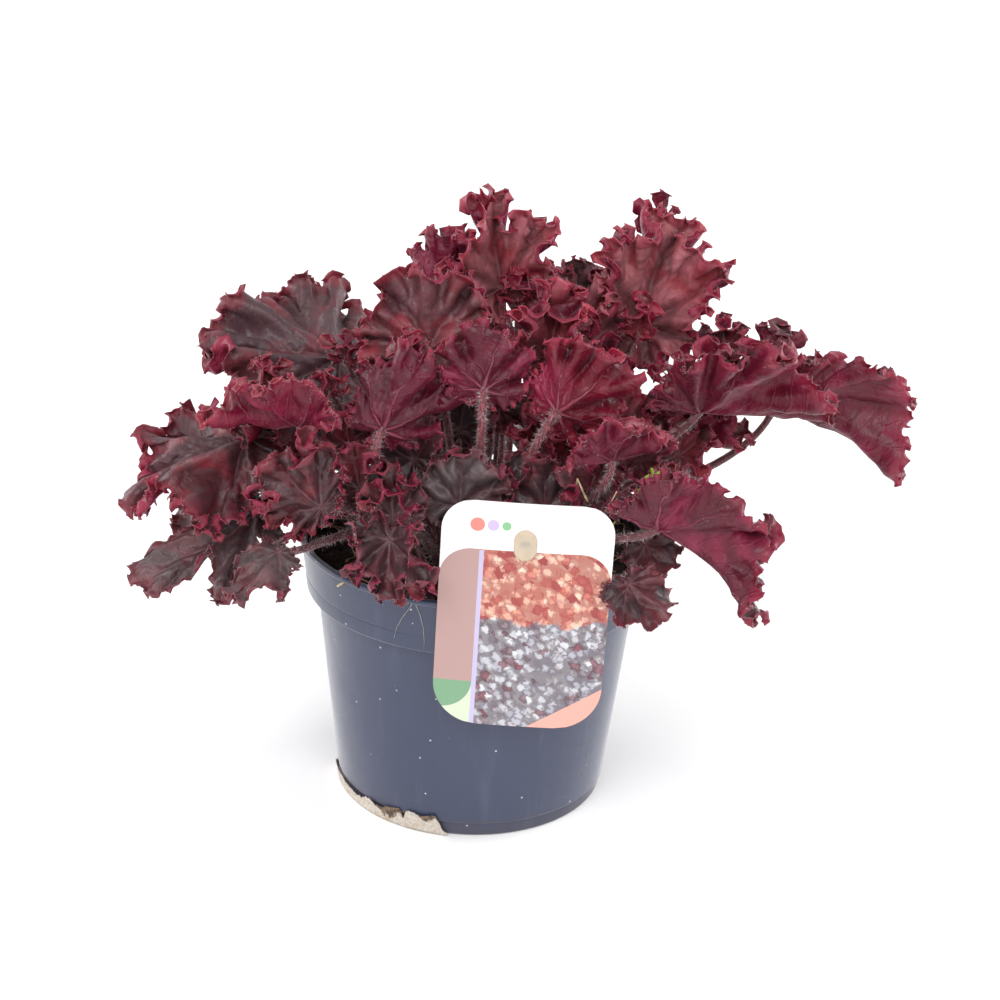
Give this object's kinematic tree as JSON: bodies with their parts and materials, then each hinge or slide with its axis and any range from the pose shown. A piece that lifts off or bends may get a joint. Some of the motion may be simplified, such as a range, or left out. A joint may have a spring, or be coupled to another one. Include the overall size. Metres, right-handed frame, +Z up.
{
  "type": "heuchera plant in a nursery pot",
  "caption": "Heuchera plant with ruffled, lobed wine-red leaves on slender stalks, in the soil of a tapered round nursery pot with a card label.",
  "frame": {"origin": "centre of the pot's underside, on the ground", "axes": "+Z up, -Y towards the side with the card label, +X to the right as seen from that side"},
  "size_m": [0.3577, 0.258, 0.2926],
  "materials": {
    "pot": "satin",
    "soil": "matte",
    "crown": "matte",
    "card": "satin",
    "peg": "satin",
    "paper": "matte",
    "leaf": "satin"
  },
  "bodies": {
    "root": {"pot": "pot", "soil": "soil", "crown": "crown", "label_card": "card", "label_peg": "peg", "paper_strip": "paper", "leaf_top": "leaf", "leaf_topLeft": "leaf", "leaf_brow": "leaf", "leaf_leftHigh": "leaf", "leaf_leftFold": "leaf", "leaf_farLeft": "leaf", "leaf_oakLeft": "leaf", "leaf_oakLow": "leaf", "leaf_apron": "leaf", "leaf_bib": "leaf", "leaf_veil": "leaf", "leaf_funnel": "leaf", "leaf_lantern": "leaf", "leaf_heart": "leaf", "leaf_fringe": "leaf", "leaf_crest": "leaf", "leaf_rightHigh": "leaf", "leaf_rightWing": "leaf", "leaf_farRight": "leaf", "leaf_slim": "leaf", "leaf_rightLow": "leaf", "leaf_tuck": "leaf", "leaf_nook": "leaf", "leaf_ember": "leaf", "leaf_slate": "leaf", "leaf_pocket": "leaf", "leaf_nib": "leaf", "leaf_midLeft": "leaf", "leaf_midCentre": "leaf", "leaf_midBack": "leaf", "leaf_backTop": "leaf", "leaf_backRight": "leaf", "leaf_backMid": "leaf", "leaf_backLeft": "leaf", "leaf_leftBack": "leaf", "leaf_lowBackLeft": "leaf", "leaf_lowBack": "leaf", "leaf_lowBackRight": "leaf"}
  },
  "joints": []
}
